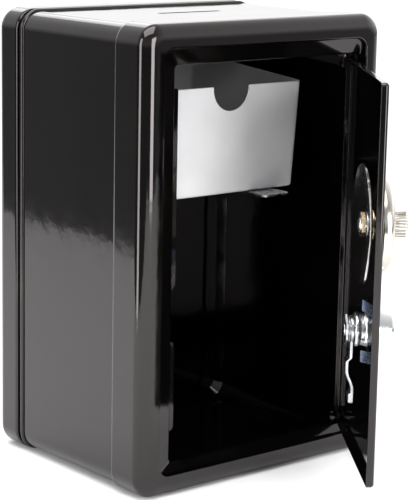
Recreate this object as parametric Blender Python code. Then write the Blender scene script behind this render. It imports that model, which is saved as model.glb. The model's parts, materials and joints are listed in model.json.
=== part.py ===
"""Toy safe coin bank: a sheet-steel case with a hinged door, a dial, a cam lock and a coin tray.

Frame: +Z up, -Y is the front, +X is the hinge side. Lengths below are millimetres, and MM turns
them into metres. The case's own depth is measured from its front face (depth 0) to its back.
"""
import math

import bmesh
import bpy
from mathutils import Vector

MM = 0.001
GAP = 0.3                       # clearance between neighbouring pieces

# Case
WIDTH = 120.0
HEIGHT = 180.0
DEPTH = 96.4
SHEET = 0.7                     # sheet thickness of the case and door
CORNER = 8.5                    # radius of the case's four long edges
FILLET = 5.0                    # radius round the front and back faces
FRONT_CAP = 18.5                # depth of the front frame's side walls
BACK_CAP = 14.4                 # depth of the back cover's side walls
TUCK = 2.3                      # how far the band reaches under each cap
BAND_INSET = SHEET + GAP
BEAD_DEPTH = 79.4               # where the band's rolled bead runs
BEAD_RADIUS = 0.9

# Doorway: a recessed step, a ledge that slopes in, and a flange turned in behind the ledge
RECESS = (-50.2, 51.2, 8.6, 170.6)          # left, right, bottom, top
DOORWAY = (-42.6, 51.9, 12.3, 164.1)
RECESS_CORNER = 4.5
DOORWAY_CORNER = 1.6
RECESS_LIP = 0.9                # roll from the front face into the recess
LEDGE_START = 2.3               # depth of the ledge at the recess wall
LEDGE_DEPTH = 4.0               # and at the doorway
FLANGE_END = 6.1

# Door
DOOR = (-41.5, 49.8, 12.7, 162.5)
DOOR_CORNER = 1.5
DOOR_FILLET = 1.3
DOOR_FRONT = 3.0                # depth of the closed door's outer face
DOOR_FLANGE = 3.0
HINGE_X = 46.0
HINGE_DEPTH = 7.2
OPEN_ANGLE = math.radians(54.0)

# Strike plates behind the left ledge: bottom, top, and the radius at each of these ends
STRIKE_EDGE = -39.3
STRIKE_BACK = DOOR_FRONT + DOOR_FLANGE + GAP + SHEET
STRIKES = {"strike_lower": (23.7, 59.3, 2.0, 3.0), "strike_upper": (79.0, 155.3, 3.0, 0.8)}

# Dial and its disc
AXIS_X = -21.5                  # both the dial and the lock stand on this line
DIAL_Z = 108.0
SHAFT_RADIUS = 2.6
DISC_RADIUS = 22.4
DISC_FLAT = 13.3                # distance from the axis to the disc's flat
PLATE_RADIUS = 18.5
KNOB_RADIUS = 5.7
KNOB_FLUTES = 28

# Lock
LOCK_Z = 68.2
BARREL_RADIUS = 6.6
PLUG_RADIUS = 4.0
BARREL_END = 6.9                # depth of the barrel's inner end
TAIL_RADIUS = 2.3
CAM_HEAD = 5.2
CAM_SHEET = 1.0
CLIP_SHEET = 0.7
CLIP_REACH = 9.0                # from the lock's axis to the clip's two wings
CLIP_WIDTH = 4.3
WING_END = 5.2                  # depth of the wings' free ends

# Coin slot and tray
SLOT_LENGTH = 31.0
SLOT_WIDTH = 3.2
SLOT_DEPTH = 49.0
TRAY_FLOOR = 109.8
TRAY_FRONT = 22.0
TRAY_BACK = 92.0
TRAY_HALF = 37.5
TRAY_DRAFT = 3.1                # how much narrower each side is at the floor
TRAY_WALL = 0.9
TRAY_FRONT_TOP = 152.3
TRAY_BACK_TOP = 158.0
NOTCH_RADIUS = 9.0
SHELF_REACH = 30.5              # inner edges of the two shelves, from the middle

# Half-way between the open door's tip and the case's back, which is the part's own middle
DOOR_REACH = HINGE_X - DOOR[0]
DOOR_SKIN = HINGE_DEPTH - DOOR_FRONT
DOOR_TIP = HINGE_DEPTH - DOOR_REACH * math.sin(OPEN_ANGLE) - DOOR_SKIN * math.cos(OPEN_ANGLE)
MIDDLE_DEPTH = (DEPTH + DOOR_TIP) / 2


# ---------------------------------------------------------------- materials

def material(name, colour, roughness, metallic):
    """A Principled material in linear colour."""
    made = bpy.data.materials.new(name)
    made.use_nodes = True
    shader = made.node_tree.nodes["Principled BSDF"]
    shader.inputs["Base Color"].default_value = (*colour, 1.0)
    shader.inputs["Roughness"].default_value = roughness
    shader.inputs["Metallic"].default_value = metallic
    return made


def finishes():
    """The object's finishes, by name."""
    return {
        "black_enamel": material("black_enamel", (0.010, 0.009, 0.009), 0.12, 0.0),
        "nickel": material("nickel", (0.72, 0.70, 0.66), 0.18, 1.0),
        "chrome": material("chrome", (0.80, 0.81, 0.82), 0.10, 1.0),
        "zinc": material("zinc", (0.55, 0.56, 0.58), 0.35, 1.0),
        "blued_steel": material("blued_steel", (0.20, 0.24, 0.32), 0.30, 1.0),
        "brass": material("brass", (0.80, 0.62, 0.38), 0.28, 1.0),
        "silver_plastic": material("silver_plastic", (0.72, 0.72, 0.73), 0.38, 0.0),
    }


# ---------------------------------------------------------------- shape helpers

def rounded_corners(left, right, low, high, radius, steps=6):
    """Outline of a rounded rectangle, the same number of points for every size."""
    centres = (
        (right - radius, low + radius, -math.pi / 2),
        (right - radius, high - radius, 0.0),
        (left + radius, high - radius, math.pi / 2),
        (left + radius, low + radius, math.pi),
    )
    points = []
    for across, along, start in centres:
        for step in range(steps + 1):
            angle = start + step / steps * math.pi / 2
            points.append((across + radius * math.cos(angle), along + radius * math.sin(angle)))
    return points


def upright_ring(box, radius, depth, inset=0.0):
    """A rounded rectangle standing in an X-Z plane at one depth, drawn in by inset."""
    left, right, low, high = box
    points = rounded_corners(left + inset, right - inset, low + inset, high - inset, radius - inset)
    return [Vector((x, depth, z)) for x, z in points]


def circle_ring(radius, depth, steps=32):
    """A circle round the Y axis at one depth."""
    turns = [2 * math.pi * step / steps for step in range(steps)]
    return [Vector((radius * math.cos(turn), depth, radius * math.sin(turn))) for turn in turns]


def finish_mesh(name, maker, finish, parent=None, sharp=35.0):
    """Turn a bmesh into a named object in metres, shaded smooth with its edges kept sharp."""
    bmesh.ops.recalc_face_normals(maker, faces=maker.faces)
    bmesh.ops.scale(maker, vec=(MM, MM, MM), verts=maker.verts)
    mesh = bpy.data.meshes.new(name)
    maker.to_mesh(mesh)
    maker.free()
    mesh.shade_smooth()
    mesh.set_sharp_from_angle(angle=math.radians(sharp))
    piece = bpy.data.objects.new(name, mesh)
    bpy.context.scene.collection.objects.link(piece)
    if finish:
        mesh.materials.append(finish)
    piece.parent = parent
    return piece


def loft(name, rings, finish, parent=None, closed=False):
    """Skin over rings of equal length. Open ends are capped; closed joins the last to the first."""
    maker = bmesh.new()
    rows = [[maker.verts.new(point) for point in ring] for ring in rings]
    pairs = list(zip(rows[:-1], rows[1:]))
    if closed:
        pairs.append((rows[-1], rows[0]))
    else:
        maker.faces.new(rows[0])
        maker.faces.new(rows[-1])
    for first, second in pairs:
        for index in range(len(first)):
            after = (index + 1) % len(first)
            maker.faces.new((first[index], first[after], second[after], second[index]))
    return finish_mesh(name, maker, finish, parent)


def turned(name, profile, finish, parent=None, closed=True, steps=32):
    """A turned piece on the Y axis. The profile holds (radius, depth) points."""
    rings = [circle_ring(radius, depth, steps) for radius, depth in profile]
    return loft(name, rings, finish, parent, closed)


def extruded(name, outline, span, axis, finish, parent=None):
    """An outline pushed along one axis. The outline's pairs are the other two axes, in order."""
    rings = []
    for place in span:
        ring = []
        for first, second in outline:
            coordinates = [first, second]
            coordinates.insert(axis, place)
            ring.append(Vector(coordinates))
        rings.append(ring)
    return loft(name, rings, finish, parent)


def cut(piece, cutter):
    """Take a cutter out of a piece with a Boolean modifier."""
    cutter.parent = piece.parent
    cutter.hide_render = True
    cutter.display_type = "WIRE"
    modifier = piece.modifiers.new(cutter.name, "BOOLEAN")
    modifier.operation = "DIFFERENCE"
    modifier.solver = "EXACT"
    modifier.object = cutter


def round_cutter(name, radius, span, centre, axis=1, steps=32):
    """A cylinder along one axis, through a centre given by the other two coordinates."""
    turns = [2 * math.pi * step / steps for step in range(steps)]
    outline = [(centre[0] + radius * math.cos(t), centre[1] + radius * math.sin(t)) for t in turns]
    return extruded(name, outline, span, axis, None)


def pivot(name, place, parent=None, turn=0.0):
    """An empty that carries the pieces of one moving body."""
    empty = bpy.data.objects.new(name, None)
    bpy.context.scene.collection.objects.link(empty)
    empty.empty_display_size = 0.02
    empty.location = Vector(place) * MM
    empty.rotation_euler = (0.0, 0.0, turn)
    empty.parent = parent
    return empty


# ---------------------------------------------------------------- case

CASE_BOX = (-WIDTH / 2, WIDTH / 2, 0.0, HEIGHT)


def quarter(radius, steps=5):
    """Insets and depths of a quarter round, from the flat face to the side wall."""
    angles = [step / steps * math.pi / 2 for step in range(steps + 1)]
    return [(radius * (1 - math.sin(angle)), radius * (1 - math.cos(angle))) for angle in angles]


def grown(box, size):
    """A box grown by size on every side."""
    left, right, low, high = box
    return (left - size, right + size, low - size, high + size)


def front_frame(finish, parent):
    """Drawn cap with a stepped doorway: one sheet turned from the side wall to the inner flange."""
    outside = [upright_ring(CASE_BOX, CORNER, FRONT_CAP)]
    for inset, depth in reversed(quarter(FILLET)):
        outside.append(upright_ring(CASE_BOX, CORNER, depth, inset))
    lip = RECESS_LIP
    outside.append(upright_ring(grown(RECESS, lip), RECESS_CORNER + lip, 0.0))
    outside.append(upright_ring(grown(RECESS, lip / 4), RECESS_CORNER + lip / 4, lip / 4))
    outside.append(upright_ring(RECESS, RECESS_CORNER, lip))
    outside.append(upright_ring(RECESS, RECESS_CORNER, LEDGE_START))
    outside.append(upright_ring(DOORWAY, DOORWAY_CORNER, LEDGE_DEPTH))
    outside.append(upright_ring(DOORWAY, DOORWAY_CORNER, FLANGE_END))
    wide_doorway = grown(DOORWAY, SHEET)
    wide_recess = grown(RECESS, SHEET)
    inside = [
        upright_ring(wide_doorway, DOORWAY_CORNER + SHEET, FLANGE_END),
        upright_ring(wide_doorway, DOORWAY_CORNER + SHEET, LEDGE_DEPTH + SHEET),
        upright_ring(wide_recess, RECESS_CORNER + SHEET, LEDGE_START + SHEET),
        upright_ring(wide_recess, RECESS_CORNER + SHEET, lip + SHEET),
        upright_ring(grown(RECESS, lip + SHEET / 2), RECESS_CORNER + lip, SHEET),
    ]
    for inset, depth in quarter(FILLET - SHEET):
        inside.append(upright_ring(CASE_BOX, CORNER, SHEET + depth, SHEET + inset))
    inside.append(upright_ring(CASE_BOX, CORNER, FRONT_CAP, SHEET))
    return loft("front_frame", outside + inside, finish, parent, closed=True)


def body_band(finish, parent):
    """Wrapper between the caps, with a rolled bead before the back cover and the coin slot on top."""
    start = FRONT_CAP - TUCK
    end = DEPTH - BACK_CAP + TUCK
    outside = [upright_ring(CASE_BOX, CORNER, start, BAND_INSET)]
    for step in range(7):
        angle = step / 6 * math.pi
        depth = BEAD_DEPTH - BEAD_RADIUS * math.cos(angle)
        outside.append(upright_ring(CASE_BOX, CORNER, depth, BAND_INSET - BEAD_RADIUS * math.sin(angle)))
    outside.append(upright_ring(CASE_BOX, CORNER, end, BAND_INSET))
    inside = [
        upright_ring(CASE_BOX, CORNER, end, BAND_INSET + SHEET),
        upright_ring(CASE_BOX, CORNER, start, BAND_INSET + SHEET),
    ]
    band = loft("body_band", outside + inside, finish, parent, closed=True)
    half = SLOT_LENGTH / 2
    edge = SLOT_WIDTH / 2
    outline = rounded_corners(-half, half, SLOT_DEPTH - edge, SLOT_DEPTH + edge, edge * 0.6, steps=3)
    cut(band, extruded("coin_slot_cut", outline, (HEIGHT - 10, HEIGHT + 10), 2, None))
    return band


def back_cover(finish, parent):
    """Drawn cap that closes the back."""
    rings = []
    for inset, depth in quarter(FILLET):
        rings.append(upright_ring(CASE_BOX, CORNER, DEPTH - depth, inset))
    rim = DEPTH - BACK_CAP
    rings.append(upright_ring(CASE_BOX, CORNER, rim))
    rings.append(upright_ring(CASE_BOX, CORNER, rim, SHEET))
    for inset, depth in reversed(quarter(FILLET - SHEET)):
        rings.append(upright_ring(CASE_BOX, CORNER, DEPTH - SHEET - depth, SHEET + inset))
    return loft("back_cover", rings, finish, parent)


def strike_plate(name, ends, finish, parent):
    """Angle plate behind the left ledge, with round corners on its free edge."""
    low, high, low_radius, high_radius = ends
    outer = DOORWAY[0] - SHEET - GAP
    root = LEDGE_DEPTH + SHEET + GAP
    rings = []
    turns = [step / 4 * math.pi / 2 for step in range(5)]
    stations = [(low + low_radius * (1 - math.cos(t)), low_radius * (1 - math.sin(t))) for t in turns]
    stations += [
        (high - high_radius * (1 - math.cos(t)), high_radius * (1 - math.sin(t))) for t in reversed(turns)
    ]
    for place, inset in stations:
        reach = STRIKE_EDGE - inset
        section = (
            (outer - SHEET, root),
            (outer, root),
            (outer, STRIKE_BACK - SHEET),
            (reach, STRIKE_BACK - SHEET),
            (reach, STRIKE_BACK),
            (outer - SHEET, STRIKE_BACK),
        )
        rings.append([Vector((x, y, place)) for x, y in section])
    return loft(name, rings, finish, parent)


# ---------------------------------------------------------------- hinge

LUG = 1.0                       # thickness of the hinge's plates
PIN_RADIUS = 0.9
PIN_HOLE = PIN_RADIUS + GAP
PIN_HEAD = 1.7
HINGE_HALF = 4.2                # half the width of a hinge bracket


def hinge_end(tag, edge, inward, wall, finish, root, door):
    """One end of the hinge. The edge is the door's end, inward points to the door's middle."""
    lug_near = edge + inward * (SHEET + 0.9)
    lug_far = lug_near + inward * LUG
    plate_near = edge - inward * 0.6
    plate_far = plate_near - inward * LUG
    foot_far = wall + inward * (SHEET + GAP)
    foot_near = foot_far + inward * LUG

    lug_box = rounded_corners(-4.5, 2.3, DOOR_FRONT + SHEET + GAP - HINGE_DEPTH, 1.9, 0.9, steps=3)
    lug = extruded("hinge_lug_" + tag, lug_box, sorted((lug_near, lug_far)), 2, finish, door)
    cut(lug, round_cutter("lug_hole_" + tag, PIN_HOLE, (edge - 9, edge + 9), (0, 0), 2, 20))

    back = HINGE_DEPTH + 3.4
    profile = (
        (FLANGE_END + GAP, plate_near),
        (back, plate_near),
        (back, foot_near),
        (back + 5.0, foot_near),
        (back + 5.0, foot_far),
        (back - LUG, foot_far),
        (back - LUG, plate_far),
        (FLANGE_END + GAP, plate_far),
    )
    span = (HINGE_X - HINGE_HALF, HINGE_X + HINGE_HALF)
    bracket = extruded("hinge_bracket_" + tag, profile, span, 0, finish, root)
    hole = round_cutter(
        "bracket_hole_" + tag, PIN_HOLE, sorted((edge - 2.5 * inward, edge)), (HINGE_X, HINGE_DEPTH), 2, 20
    )
    cut(bracket, hole)

    outer_end = plate_far - inward * 0.9
    inner_head = lug_far + inward * GAP
    profile = (
        (PIN_RADIUS * 0.6, outer_end),
        (PIN_RADIUS, outer_end + inward * 0.4),
        (PIN_RADIUS, inner_head),
        (PIN_HEAD, inner_head),
        (PIN_HEAD, inner_head + inward * LUG * 0.6),
        (PIN_HEAD * 0.7, inner_head + inward * LUG),
    )
    rings = []
    for radius, place in profile:
        ring = circle_ring(radius, place, 20)
        rings.append([Vector((HINGE_X + point.x, HINGE_DEPTH + point.z, place)) for point in ring])
    loft("hinge_pin_" + tag, rings, finish, root)


# ---------------------------------------------------------------- door

def door_panel(finish, door):
    """Shallow pan with flanges all round, in the hinge's own frame."""
    box = (DOOR[0] - HINGE_X, DOOR[1] - HINGE_X, DOOR[2], DOOR[3])
    face = DOOR_FRONT - HINGE_DEPTH
    rings = []
    for inset, depth in quarter(DOOR_FILLET, 4):
        rings.append(upright_ring(box, DOOR_CORNER, face + depth, inset))
    rings.append(upright_ring(box, DOOR_CORNER, face + DOOR_FLANGE))
    rings.append(upright_ring(box, DOOR_CORNER, face + DOOR_FLANGE, SHEET))
    for inset, depth in reversed(quarter(DOOR_FILLET - SHEET, 3)):
        rings.append(upright_ring(box, DOOR_CORNER, face + SHEET + depth, SHEET + inset))
    panel = loft("door_panel", rings, finish, door)
    axis = AXIS_X - HINGE_X
    cut(panel, round_cutter("dial_hole", 4.2, (face - 5, face + 5), (axis, DIAL_Z)))
    cut(panel, round_cutter("lock_hole", BARREL_RADIUS + GAP, (face - 5, face + 5), (axis, LOCK_Z)))
    return panel


def dial_pieces(paint, door, dial):
    """The dial. Depth 0 is the door's outer face, and the outside is at negative depths."""
    bore = SHAFT_RADIUS + GAP
    turned("dial_bush", (
        (bore, -0.2), (3.9, -0.2), (3.9, SHEET + GAP), (5.8, SHEET + GAP), (5.8, 1.8), (bore, 1.8),
    ), paint["brass"], door).location = dial.location
    plate = [(bore, -5.3), (8.5, -5.3), (14.6, -5.0)]
    for step in range(5):
        angle = step / 4 * math.pi / 2
        plate.append((15.5 + 3.0 * math.sin(angle), -1.9 - 3.0 * math.cos(angle)))
    plate += [(PLATE_RADIUS, -GAP), (PLATE_RADIUS - 0.8, -GAP)]
    for step in range(4):
        angle = (1 - step / 3) * math.pi / 2
        plate.append((15.5 + 2.2 * math.sin(angle), -1.9 - 2.2 * math.cos(angle)))
    plate += [(8.5, -4.5), (bore, -4.5)]
    turned("dial_plate", plate, paint["nickel"], dial, steps=48)
    dial_knob(paint["nickel"], dial)
    turned("dial_shaft", (
        (SHAFT_RADIUS - 0.4, -10.0), (SHAFT_RADIUS, -9.6), (SHAFT_RADIUS, 6.0), (SHAFT_RADIUS - 0.4, 6.4),
    ), paint["zinc"], dial, closed=False, steps=24)
    lock_disc(paint["zinc"], dial)
    turned("disc_washer", (
        (bore, 3.3), (4.6, 3.3), (4.6, 3.7), (bore, 3.7),
    ), paint["zinc"], dial, steps=24)
    nut = [[Vector((3.95 * x, depth, 3.95 * z)) for x, z in hexagon()] for depth in (4.0, 5.9)]
    piece = loft("disc_nut", nut, paint["brass"], dial)
    cut(piece, round_cutter("disc_nut_hole", bore, (2, 8), (0, 0), steps=24))


def hexagon():
    """Corners of a hexagon whose sides lie at distance 1 from the middle."""
    reach = 1 / math.cos(math.pi / 6)
    return [(reach * math.cos(k * math.pi / 3), reach * math.sin(k * math.pi / 3)) for k in range(6)]


def dial_knob(finish, dial):
    """Fluted knob with a blind bore for the shaft."""
    count = KNOB_FLUTES * 4
    low = -5.3 - GAP
    rings = []
    for radius, depth, flute in (
        (KNOB_RADIUS, low, 0.3), (KNOB_RADIUS, -10.5, 0.3), (KNOB_RADIUS - 0.7, -11.3, 0.0),
    ):
        ring = []
        for step in range(count):
            turn = 2 * math.pi * step / count
            reach = radius - flute * (step % 4 in (1, 2))
            ring.append(Vector((reach * math.cos(turn), depth, reach * math.sin(turn))))
        rings.append(ring)
    knob = loft("dial_knob", rings, finish, dial)
    cut(knob, round_cutter("knob_bore", SHAFT_RADIUS + GAP, (-10.3, 0), (0, 0), steps=24))


def lock_disc(finish, dial):
    """Dished disc with one flat. The flat faces the strike plate when the dial is at zero."""
    steps = 64
    profile = ((SHAFT_RADIUS + GAP, 2.2), (7.0, 2.2), (DISC_RADIUS, 4.75))
    rings = []
    for thickness, points in ((0.0, profile), (0.8, tuple(reversed(profile)))):
        for radius, depth in points:
            ring = []
            for step in range(steps):
                turn = 2 * math.pi * step / steps
                reach = radius
                if math.cos(turn) < 0 and radius == DISC_RADIUS:
                    reach = min(radius, -DISC_FLAT / math.cos(turn))
                share = (reach - 7.0) / (DISC_RADIUS - 7.0) if radius == DISC_RADIUS else 0.0
                level = 2.2 + share * (depth - 2.2)
                ring.append(Vector((reach * math.cos(turn), level + thickness, reach * math.sin(turn))))
            rings.append(ring)
    return loft("lock_disc", rings, finish, dial, closed=True)


def lock_pieces(paint, door, lock):
    """Cam lock through the door. Depth 0 is the door's outer face."""
    bore = PLUG_RADIUS + GAP
    housing = (
        (bore, -7.8), (6.3, -7.8), (6.8, -7.4), (8.9, -1.2), (9.0, -GAP),
        (BARREL_RADIUS, -GAP), (BARREL_RADIUS, BARREL_END - 0.4), (BARREL_RADIUS - 0.4, BARREL_END),
        (bore, BARREL_END),
    )
    turned("lock_housing", housing, paint["chrome"], door, steps=40).location = lock.location
    plug = (
        (PLUG_RADIUS - 0.4, -7.6), (PLUG_RADIUS, -7.2), (PLUG_RADIUS, BARREL_END),
        (TAIL_RADIUS, BARREL_END), (TAIL_RADIUS, 10.6),
    )
    piece = turned("lock_plug", plug, paint["chrome"], lock, closed=False, steps=28)
    keyway = rounded_corners(-0.55, 0.55, -2.9, 2.2, 0.3, steps=2)
    cut(piece, extruded("keyway_cut", keyway, (-9.0, -3.0), 1, None))
    lock_clip(paint["blued_steel"], door, lock.location)
    lock_cam(paint["zinc"], lock)
    inner = TAIL_RADIUS + GAP
    turned("lock_washer", (
        (inner, 8.5), (5.0, 8.5), (5.0, 8.9), (inner, 8.9),
    ), paint["zinc"], lock, steps=28)
    nut = [[Vector((5.0 * x, depth, 5.0 * z)) for x, z in hexagon()] for depth in (9.2, 10.3)]
    piece = loft("lock_nut", nut, paint["zinc"], lock)
    cut(piece, round_cutter("lock_nut_hole", inner, (8, 12), (0, 0), steps=24))


def lock_clip(finish, door, place):
    """U-shaped clip pushed over the barrel from the hinge side, with its two ends bent in as wings."""
    near = SHEET + GAP
    far = near + CLIP_SHEET
    inner = BARREL_RADIUS + GAP
    outer = inner + CLIP_WIDTH
    rings = []

    def wing(side, lift):
        ends = []
        for first, second, rise in ((WING_END, WING_END, lift), (near, far, 0.0)):
            low, high = side * inner + rise, side * outer + rise
            ends.append([
                Vector((-CLIP_REACH, first, low)), Vector((-CLIP_REACH, first, high)),
                Vector((CLIP_SHEET - CLIP_REACH, second, high)), Vector((CLIP_SHEET - CLIP_REACH, second, low)),
            ])
        return ends

    rings += wing(1, 2.4)
    for step in range(13):
        turn = step / 12 * math.pi
        rings.append([
            Vector((radius * math.sin(turn), depth, radius * math.cos(turn)))
            for radius, depth in ((inner, near), (outer, near), (outer, far), (inner, far))
        ])
    rings += reversed(wing(-1, 1.0))
    clip = loft("lock_clip", rings, finish, door)
    clip.location = place
    return clip


def lock_cam(finish, lock):
    """Cranked cam: a round eye, a joggle away from the door, and a thick tip that comes back."""
    eye = BARREL_END + GAP
    stations = []
    for step in range(1, 12):
        down = -CAM_HEAD * math.cos(step / 12 * math.pi)
        stations.append((down, max(math.sqrt(CAM_HEAD ** 2 - down ** 2), 0.0), eye, CAM_SHEET))
    stations = [entry for entry in stations if entry[0] < 3.9]
    stations += [
        (4.6, 3.3, eye, CAM_SHEET), (10.0, 3.1, eye, CAM_SHEET),
        (12.0, 3.0, eye + 1.4, CAM_SHEET), (15.2, 3.0, eye + 1.4, CAM_SHEET),
        (22.6, 2.7, eye - 0.8, CAM_SHEET), (24.0, 2.7, eye - 0.8, CAM_SHEET),
        (24.4, 2.7, eye - 0.8, 1.8), (27.4, 2.6, eye - 0.8, 1.8), (28.0, 2.2, eye - 0.8, 1.4),
    ]
    rings = []
    for down, half, depth, thick in stations:
        rings.append([
            Vector((-half, depth, -down)), Vector((half, depth, -down)),
            Vector((half, depth + thick, -down)), Vector((-half, depth + thick, -down)),
        ])
    cam = loft("lock_cam", rings, finish, lock)
    cut(cam, round_cutter("cam_hole", TAIL_RADIUS + GAP, (6, 10), (0, 0), steps=24))


# ---------------------------------------------------------------- tray

def tray_ring(inset, height, draft):
    """A rounded rectangle lying flat. A height of None follows the sloping rim."""
    half = TRAY_HALF - inset - draft
    front = TRAY_FRONT + inset + draft * 0.1
    back = TRAY_BACK - inset - draft / 2
    slope = (TRAY_BACK_TOP - TRAY_FRONT_TOP) / (TRAY_BACK - TRAY_FRONT)
    ring = []
    for x, y in rounded_corners(-half, half, front, back, 3.0 - inset, steps=4):
        level = TRAY_FRONT_TOP + slope * (y - TRAY_FRONT) if height is None else height
        ring.append(Vector((x, y, level)))
    return ring


def tray_pieces(paint, root, slide):
    """Open-top tray with a finger notch, its tongue, and the two shelves that it slides on."""
    rings = [
        tray_ring(0.0, TRAY_FLOOR, TRAY_DRAFT),
        tray_ring(0.0, None, 0.0),
        tray_ring(TRAY_WALL, None, 0.0),
        tray_ring(TRAY_WALL, TRAY_FLOOR + TRAY_WALL, TRAY_DRAFT),
    ]
    tray = loft("coin_tray", rings, paint["silver_plastic"], slide)
    centre = NOTCH_RADIUS + TRAY_FRONT_TOP - 9.8
    outline = [(NOTCH_RADIUS, TRAY_BACK_TOP + 5), (-NOTCH_RADIUS, TRAY_BACK_TOP + 5)]
    for step in range(25):
        turn = math.pi + step / 24 * math.pi
        outline.append((NOTCH_RADIUS * math.cos(turn), centre + NOTCH_RADIUS * math.sin(turn)))
    cut(tray, extruded("notch_cut", outline, (TRAY_FRONT - 3, TRAY_FRONT + 8), 1, None))

    under = TRAY_FLOOR - GAP
    tongue_box = rounded_corners(9.5, 23.5, 12.0, 34.0, 2.5, steps=4)
    tongue = extruded("tray_tongue", tongue_box, (under - 0.8, under), 2, paint["zinc"], slide)
    rivet_place = (16.5, 29.0)
    cut(tongue, round_cutter("tongue_hole", 1.5, (under - 3, under + 0.15), rivet_place, 2, 20))
    cut(tray, round_cutter("tray_hole", 1.5, (TRAY_FLOOR - 0.15, TRAY_FLOOR + 3), rivet_place, 2, 20))
    rivet = (
        (1.6, under - 0.8 - GAP - 0.7), (2.3, under - 0.8 - GAP - 0.4), (2.3, under - 0.8 - GAP),
        (1.2, under - 0.8 - GAP), (1.2, TRAY_FLOOR + TRAY_WALL + GAP),
        (2.3, TRAY_FLOOR + TRAY_WALL + GAP), (2.3, TRAY_FLOOR + TRAY_WALL + GAP + 0.4),
        (1.6, TRAY_FLOOR + TRAY_WALL + GAP + 0.7),
    )
    rings = []
    for radius, height in rivet:
        ring = circle_ring(radius, 0.0, 20)
        rings.append([Vector((rivet_place[0] + p.x, rivet_place[1] + p.z, height)) for p in ring])
    loft("tray_rivet", rings, paint["zinc"], slide)

    wall = WIDTH / 2 - BAND_INSET - SHEET - GAP
    for tag, side in (("left", -1), ("right", 1)):
        profile = (
            (side * SHELF_REACH, under - 0.9), (side * wall, under - 0.9), (side * wall, under + 9.0),
            (side * (wall - 0.9), under + 9.0), (side * (wall - 0.9), under), (side * SHELF_REACH, under),
        )
        rings = [[Vector((x, depth, z)) for x, z in profile] for depth in (24.0, 77.0)]
        loft("tray_shelf_" + tag, rings, paint["black_enamel"], root)


# ---------------------------------------------------------------- assembly

def build():
    """Empty the scene and build the safe with its door standing open."""
    for item in list(bpy.data.objects):
        bpy.data.objects.remove(item, do_unlink=True)
    paint = finishes()
    black = paint["black_enamel"]

    root = pivot("safe", (0, -MIDDLE_DEPTH, 0))
    door = pivot("door_axis", (HINGE_X, HINGE_DEPTH, 0), root, OPEN_ANGLE)
    skin = DOOR_FRONT - HINGE_DEPTH
    dial = pivot("dial_axis", (AXIS_X - HINGE_X, skin, DIAL_Z), door)
    lock = pivot("lock_axis", (AXIS_X - HINGE_X, skin, LOCK_Z), door)
    slide = pivot("tray_slide", (0, 0, 0), root)

    front_frame(black, root)
    body_band(black, root)
    back_cover(black, root)
    for name, ends in STRIKES.items():
        strike_plate(name, ends, black, root)
    hinge_end("lower", DOOR[2], 1, 0.0, black, root, door)
    hinge_end("upper", DOOR[3], -1, HEIGHT, black, root, door)
    door_panel(black, door)
    dial_pieces(paint, door, dial)
    lock_pieces(paint, door, lock)
    tray_pieces(paint, root, slide)


build()
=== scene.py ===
"""Looks of the toy safe coin bank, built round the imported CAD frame.

Lengths are millimetres in each body's own frame, and MM turns them into metres. X runs towards
the hinge, Y into the case and Z up. The case's frame starts at its front face, the door's at the
hinge axis, and the dial's and the lock's on the door's outer face. The floor, the lamps and the
materials' bump heights are in metres.
"""
import json
import math

import bmesh
import bpy
from mathutils import Matrix, Vector


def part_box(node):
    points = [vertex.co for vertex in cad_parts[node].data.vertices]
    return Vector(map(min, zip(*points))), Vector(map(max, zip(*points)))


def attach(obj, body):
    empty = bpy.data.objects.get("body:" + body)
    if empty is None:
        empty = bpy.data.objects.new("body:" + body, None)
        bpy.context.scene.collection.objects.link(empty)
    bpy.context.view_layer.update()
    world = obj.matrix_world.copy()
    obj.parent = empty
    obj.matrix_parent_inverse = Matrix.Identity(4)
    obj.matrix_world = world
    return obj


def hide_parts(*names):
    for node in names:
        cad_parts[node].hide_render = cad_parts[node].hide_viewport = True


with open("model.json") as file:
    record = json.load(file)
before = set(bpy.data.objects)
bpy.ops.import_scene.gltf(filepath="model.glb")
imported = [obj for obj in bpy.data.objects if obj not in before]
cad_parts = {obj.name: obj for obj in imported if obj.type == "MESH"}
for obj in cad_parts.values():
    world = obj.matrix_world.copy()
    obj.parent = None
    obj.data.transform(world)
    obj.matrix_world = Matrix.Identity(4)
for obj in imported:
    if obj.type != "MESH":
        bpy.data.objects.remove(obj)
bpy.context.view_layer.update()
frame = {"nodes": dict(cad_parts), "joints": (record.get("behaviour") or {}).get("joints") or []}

MM = 0.001
SHEET = 0.7                     # sheet thickness of the case and door
GAP = 0.3                       # clearance between neighbouring pieces

# ---------------------------------------------------------------- places from the frame

JOINTS = {joint["name"]: joint for joint in frame["joints"]}
HINGE = Vector(JOINTS["door_hinge"]["pos_m"])
INWARD = Vector(JOINTS["dial_spin"]["axis"])
OPEN_TURN = Matrix.Rotation(math.atan2(-INWARD.x, INWARD.y), 4, "Z")
FRONT_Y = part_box("front_frame")[0].y

CASE = Matrix.Translation((0.0, FRONT_Y, 0.0))
DOOR = Matrix.Translation((HINGE.x, HINGE.y, 0.0)) @ OPEN_TURN
DIAL = Matrix.Translation(JOINTS["dial_spin"]["pos_m"]) @ OPEN_TURN
LOCK = Matrix.Translation(JOINTS["lock_turn"]["pos_m"]) @ OPEN_TURN


def case_box(node):
    """A CAD node's corners in the case's frame, in millimetres."""
    low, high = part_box(node)
    shift = Vector((0.0, FRONT_Y, 0.0))
    return (low - shift) / MM, (high - shift) / MM


FRAME_LOW, FRAME_HIGH = case_box("front_frame")
COVER_LOW, COVER_HIGH = case_box("back_cover")
BAND_LOW, BAND_HIGH = case_box("body_band")
TRAY_LOW, TRAY_HIGH = case_box("coin_tray")

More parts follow.
